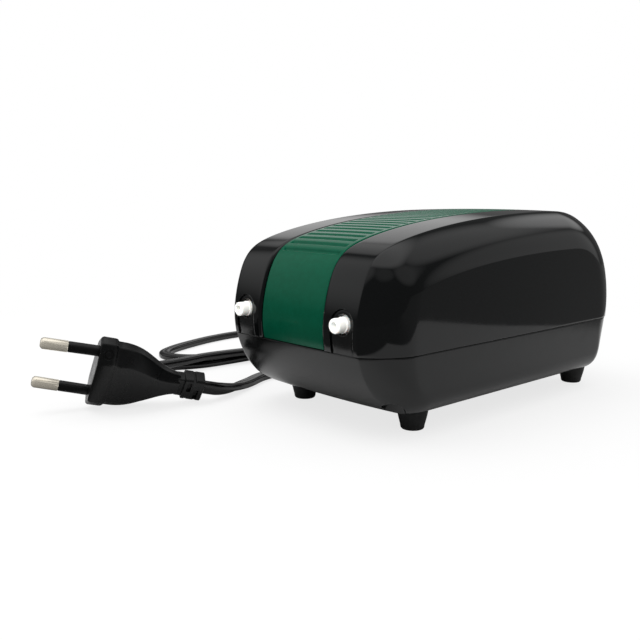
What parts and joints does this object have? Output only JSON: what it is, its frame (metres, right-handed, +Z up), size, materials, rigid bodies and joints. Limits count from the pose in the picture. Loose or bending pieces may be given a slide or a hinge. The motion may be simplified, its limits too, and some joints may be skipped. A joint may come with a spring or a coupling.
{
  "type": "aquarium air pump",
  "caption": "Mains-driven vibrating-armature air pump in a rounded black casing with a ribbed green trim, hose outlets at the front, rubber feet, and a flat cable with plug.",
  "frame": {"origin": "middle of the raised pad under the base, on the pump's middle plane; the table is 7 mm lower, under the feet", "axes": "+Z up, outlets facing -Y, +X to the right seen from the outlet side"},
  "size_m": [0.1874, 0.2159, 0.0689],
  "materials": {
    "casing_upper": "high gloss black, moulded",
    "casing_lower": "high gloss black, moulded",
    "trim_green": "gloss deep green with fine metallic fleck",
    "foot_rubber": "matt black rubber",
    "screw_steel": "zinc plated",
    "nozzle_white": "satin off-white",
    "hose_silicone": "translucent silicone",
    "core_steel": "stacked laminations, varnished edges",
    "bobbin_nylon": "satin nylon",
    "winding_copper": "enamelled copper wire under clear tape",
    "arm_plastic": "satin",
    "magnet_ferrite": "sintered ferrite, ground faces",
    "pin_steel": "ground steel",
    "clip_brass": "spring brass",
    "diaphragm_rubber": "satin moulded rubber",
    "flap_rubber": "satin rubber",
    "chamber_plastic": "light grey, satin",
    "felt_white": "pressed felt",
    "connector_nylon": "crimp cap",
    "lead_red": "flexible insulation",
    "cable_black": "satin black jacket",
    "plug_black": "satin black, moulded on",
    "plug_nickel": "nickel plated brass"
  },
  "bodies": {
    "casing": {"upper_shell": "casing_upper", "lower_shell": "casing_lower", "trim_panel": "trim_green", "rubber_feet": "foot_rubber", "case_screws": "screw_steel", "outlet_nozzle_left": "nozzle_white", "outlet_nozzle_right": "nozzle_white", "outlet_hose_left": "hose_silicone", "outlet_hose_right": "hose_silicone", "iron_core": "core_steel", "coil_bobbin": "bobbin_nylon", "coil_winding": "winding_copper", "core_screws": "screw_steel", "pivot_pins": "pin_steel", "pivot_clips": "clip_brass", "diaphragm_left": "diaphragm_rubber", "diaphragm_right": "diaphragm_rubber", "clamp_frame_left": "chamber_plastic", "clamp_frame_right": "chamber_plastic", "air_chamber_left": "chamber_plastic", "air_chamber_right": "chamber_plastic", "chamber_cover_left": "chamber_plastic", "chamber_cover_right": "chamber_plastic", "chamber_screws": "screw_steel", "filter_felt": "felt_white", "cable_grommet": "cable_black", "cable_clamp": "bobbin_nylon", "cable_clamp_screws": "screw_steel", "wire_connectors": "connector_nylon", "coil_leads": "lead_red", "mains_cable": "cable_black", "plug_body": "plug_black", "plug_pins": "plug_nickel", "pin_sleeves": "plug_black"},
    "arm_left": {"arm_left": "arm_plastic", "magnet_left": "magnet_ferrite", "diaphragm_screw_left": "screw_steel", "diaphragm_washer_left": "screw_steel"},
    "arm_right": {"arm_right": "arm_plastic", "magnet_right": "magnet_ferrite", "diaphragm_screw_right": "screw_steel", "diaphragm_washer_right": "screw_steel"},
    "inlet_flap_left": {"inlet_flap_left": "flap_rubber"},
    "inlet_flap_right": {"inlet_flap_right": "flap_rubber"},
    "outlet_flap_left": {"outlet_flap_left": "flap_rubber"},
    "outlet_flap_right": {"outlet_flap_right": "flap_rubber"},
    "filter_cover": {"filter_cover": "casing_lower"}
  },
  "joints": [
    {"name": "arm_left_swing", "type": "hinge", "parent": "casing", "child": "arm_left", "pos_m": [-0.008, -0.045, 0.027], "axis": [0, 0, 1], "range_deg": [-2.5, 2.5], "deforming": ["diaphragm_left"]},
    {"name": "arm_right_swing", "type": "hinge", "parent": "casing", "child": "arm_right", "pos_m": [0.008, -0.045, 0.027], "axis": [0, 0, 1], "range_deg": [-2.5, 2.5], "deforming": ["diaphragm_right"]},
    {"name": "inlet_flap_right_open", "type": "hinge", "parent": "casing", "child": "inlet_flap_right", "pos_m": [0.02105, -0.0155, 0.0312], "axis": [0, 1, 0], "range_deg": [0, 12]},
    {"name": "outlet_flap_right_open", "type": "hinge", "parent": "casing", "child": "outlet_flap_right", "pos_m": [0.02495, -0.0285, 0.0312], "axis": [0, -1, 0], "range_deg": [0, 12]},
    {"name": "inlet_flap_left_open", "type": "hinge", "parent": "casing", "child": "inlet_flap_left", "pos_m": [-0.02105, -0.0155, 0.0312], "axis": [0, -1, 0], "range_deg": [0, 12]},
    {"name": "outlet_flap_left_open", "type": "hinge", "parent": "casing", "child": "outlet_flap_left", "pos_m": [-0.02495, -0.0285, 0.0312], "axis": [0, 1, 0], "range_deg": [0, 12]},
    {"name": "filter_cover_pull", "type": "slide", "parent": "casing", "child": "filter_cover", "axis": [0, 0, -1], "range_m": [0, 0.006]}
  ],
  "couplings": [
    {"joint": "arm_right_swing", "follows": "arm_left_swing", "ratio": -1}
  ]
}
